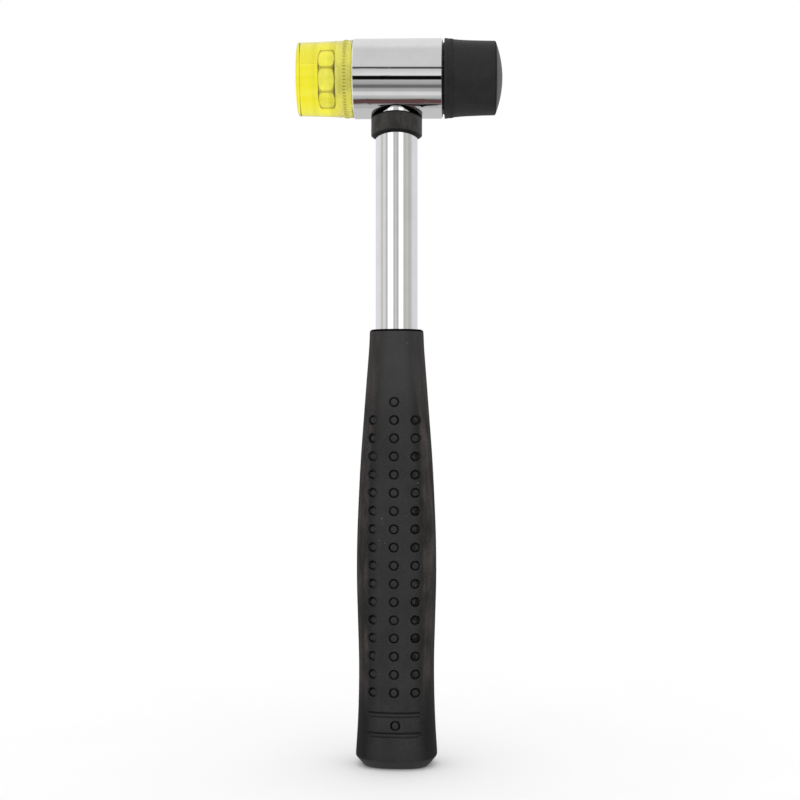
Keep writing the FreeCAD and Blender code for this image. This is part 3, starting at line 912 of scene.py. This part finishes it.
def make_stud(side, name, node, body):
    """M8 stud with a true helical thread on both sides of its plain shoulder."""
    pitch = 1.25 * MM
    crest_r = 4.0 * MM
    root_depth = 0.68 * MM
    tip, end = stud_lo.x - HEAD_MID, stud_hi.x - HEAD_MID
    shoulder_hi = nut_lo.x - HEAD_MID
    shoulder_lo = shoulder_hi - 1.3 * MM
    steps = 12
    count = round((end - tip) / pitch * steps)
    profile = [(tip, 0.0)]
    for i in range(count + 1):
        distance = tip + (end - tip) * i / count
        profile.append((distance, crest_r))
    profile.append((end, 0.0))

    def extra(distance, radius, angle):
        if shoulder_lo < distance < shoulder_hi:
            return 0.75 * MM
        phase = (distance / pitch - side * angle / (2 * math.pi)) % 1.0
        depth = root_depth * (1 - smoothstep(0.08, 0.45, abs(phase - 0.5)))
        ease = min(distance - tip, end - distance)
        return -max(depth, 0.75 * MM - ease)

    piece = lathe(name, profile, 64, round_head(side), extra, smooth_angle=40)
    dress(piece, ZINC_STUD)
    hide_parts(node)
    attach(piece, body)


def dress_nuts():
    """The CAD nuts stay as they are, with rounded corners."""
    for node in ("clear_face_nut", "rubber_face_nut"):
        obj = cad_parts[node]
        dress(obj, ZINC_NUT[node])
        ease = obj.modifiers.new("eased_edges", "BEVEL")
        ease.width = 0.45 * MM
        ease.segments = 3
        ease.limit_method = "ANGLE"
        ease.angle_limit = math.radians(20)


# ---------------------------------------------------------------- studio
def make_floor():
    """Plain pale paper that reflections leave out."""
    size = 3.0
    corners = [(-size, -size, 0), (size, -size, 0), (size, size, 0), (-size, size, 0)]
    floor = mesh_object("floor", [Vector(c) for c in corners], [[0, 1, 2, 3]])
    n = Nodes("floor_paper")
    tone = n.ramp(n.noise(0.02, 2.0), [(0.3, 0.955), (0.7, 0.965)])
    n.link(tone, n.shader.inputs["Base Color"])
    n.set(Roughness=0.9, Specular_IOR_Level=0.1)
    dress(floor, n.material)
    floor.visible_glossy = False
    floor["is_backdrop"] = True


# The light tent as the head sees it, by angle about the head's axis: 0 is straight in front,
# 90 overhead, -90 below. Each stop is (degrees, grey or rgb).
TENT_BANDS = [
    (-180, 0.56), (-110, 0.58), (-102, 0.44), (-96, 0.50), (-90, 0.30), (-88, (0.13, 0.07, 0.07)),
    (-75, (0.11, 0.055, 0.055)), (-73, 0.30), (-68, 0.50), (-62, 0.56), (-60, 0.76), (-51, 0.72),
    (-48, 0.48), (-41, 0.40), (-37, 0.15), (-31, 0.16), (-27, 0.38), (-20, 0.44), (-16.5, 0.50),
    (-15, 0.002), (-5, 0.002), (-3.5, 0.80), (4, 0.72), (14, 0.60), (16.5, 0.05), (20, 0.05),
    (22, 0.62), (30, 0.66), (80, 0.64), (98, 0.78), (150, 0.80), (180, 0.56),
]
# The band in front of the handle, by compass angle: two soft boxes either side of the middle.
TENT_FRONT = [
    (-180, (0.78, 0.78, 0.82)), (-110, (0.80, 0.79, 0.82)), (-95, (0.76, 0.72, 0.70)),
    (-90, (0.56, 0.55, 0.53)), (-82, (0.58, 0.57, 0.54)), (-76, 0.74), (-62, 0.72), (-57, 0.50),
    (-50, 0.50), (-46, 1.30), (-20, 1.25), (-14, 0.56), (0, 0.50), (10, (0.50, 0.48, 0.49)),
    (16, 1.30), (35, 1.20), (41, (0.60, 0.60, 0.58)), (48, (0.50, 0.50, 0.48)),
    (60, (0.62, 0.61, 0.57)), (72, (0.50, 0.50, 0.48)), (88, (0.54, 0.54, 0.52)),
    (97, (0.74, 0.73, 0.77)), (140, (0.74, 0.74, 0.80)), (180, (0.78, 0.78, 0.82)),
]


def make_world():
    """Even white light, with the bands of a light tent seen only in reflections."""
    world = bpy.data.worlds.new("studio")
    bpy.context.scene.world = world
    world.use_nodes = True
    tree = world.node_tree
    tree.nodes.clear()

    def add(kind, **values):
        node = tree.nodes.new(kind)
        for key, value in values.items():
            setattr(node, key, value)
        return node

    def calc(operation, a, b=0.0):
        node = add("ShaderNodeMath", operation=operation)
        for socket, value in zip(node.inputs, (a, b)):
            if isinstance(value, (int, float)):
                socket.default_value = value
            else:
                tree.links.new(value, socket)
        return node.outputs[0]

    def clamp(value, low=0.0, high=1.0):
        return calc("MINIMUM", calc("MAXIMUM", value, low), high)

    def by_angle(angle, stops):
        place = calc("ADD", calc("DIVIDE", angle, 2 * math.pi), 0.5)
        ramp = add("ShaderNodeValToRGB")
        elements = ramp.color_ramp.elements
        while len(elements) < len(stops):
            elements.new(0.5)
        for element, (degrees, tone) in zip(elements, stops):
            rgb = (tone,) * 3 if isinstance(tone, (int, float)) else tone
            element.position = degrees / 360 + 0.5
            element.color = (*rgb, 1.0)
        tree.links.new(place, ramp.inputs["Fac"])
        return ramp.outputs["Color"]

    def mix(factor, a, b):
        node = add("ShaderNodeMix", data_type="RGBA")
        for socket, value in ((node.inputs[0], factor), (node.inputs[6], a), (node.inputs[7], b)):
            if isinstance(value, tuple):
                socket.default_value = (*value, 1.0)
            else:
                tree.links.new(value, socket)
        return node.outputs[2]

    split = add("ShaderNodeSeparateXYZ")
    tree.links.new(add("ShaderNodeTexCoord").outputs["Generated"], split.inputs["Vector"])
    x, y, z = split.outputs
    ahead = calc("MULTIPLY", y, -1.0)
    # the bands lean a little across the head, as its two ends show
    tilt = calc("MULTIPLY", clamp(x, -0.1, 0.1), 0.6)
    about_head = calc("ADD", calc("ARCTAN2", z, ahead), tilt)
    compass = calc("ARCTAN2", x, ahead)
    bands = by_angle(about_head, TENT_BANDS)
    front = by_angle(compass, TENT_FRONT)
    # the handle reflects a low stretch of the tent, in which the soft boxes stand
    above = clamp(calc("MULTIPLY", calc("SUBTRACT", z, 0.01), 60.0))
    below = clamp(calc("MULTIPLY", calc("SUBTRACT", 0.31, z), 30.0))
    window = calc("MULTIPLY", above, below)
    sides = by_angle(compass, [(-180, 1), (-5, 1), (-4, 0), (0, 0), (1, 1), (180, 1)])
    mask = calc("MULTIPLY", window, sides)
    side_light = clamp(calc("MULTIPLY", calc("SUBTRACT", calc("ABSOLUTE", x), 0.6), 12.0))
    tent = mix(mask, mix(side_light, bands, (0.95, 0.95, 0.95)), front)
    path = add("ShaderNodeLightPath")
    light = mix(path.outputs["Is Glossy Ray"], (1.06, 1.06, 1.06), tent)
    light = mix(path.outputs["Is Transmission Ray"], light, (1.08, 1.08, 1.08))
    shown = mix(path.outputs["Is Camera Ray"], light, (1.0, 1.0, 1.0))
    background = add("ShaderNodeBackground")
    tree.links.new(shown, background.inputs["Color"])
    output = add("ShaderNodeOutputWorld")
    tree.links.new(background.outputs["Background"], output.inputs["Surface"])


def make_camera():
    """Level camera a little to the right of the head's square-on view."""
    azimuth = math.radians(2.0)
    distance = 0.5524
    aim_right = 1.27 * MM
    height = 138.3 * MM
    right = Vector((math.cos(azimuth), math.sin(azimuth), 0))
    back = Vector((math.sin(azimuth), -math.cos(azimuth), 0))
    data = bpy.data.cameras.new("camera")
    data.sensor_width = 36.0
    data.lens = 65.25
    data.clip_start = 0.01
    camera = bpy.data.objects.new("camera", data)
    bpy.context.scene.collection.objects.link(camera)
    camera.location = back * distance + right * aim_right + Vector((0, 0, height))
    camera.rotation_euler = (math.pi / 2, 0, azimuth)
    bpy.context.scene.camera = camera


make_barrel()
make_tube()
make_collar()
make_grip()
make_clear_face()
make_rubber_face()
make_stud(-1, "clear_face_thread", "clear_face_stud", "clear_face_screw")
make_stud(1, "rubber_face_thread", "rubber_face_stud", "rubber_face_screw")
dress_nuts()
make_floor()
make_world()
make_camera()
bpy.context.scene.view_settings.view_transform = "Standard"

[[list(corner) for corner in box] for box in (cad_bounds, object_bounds())]
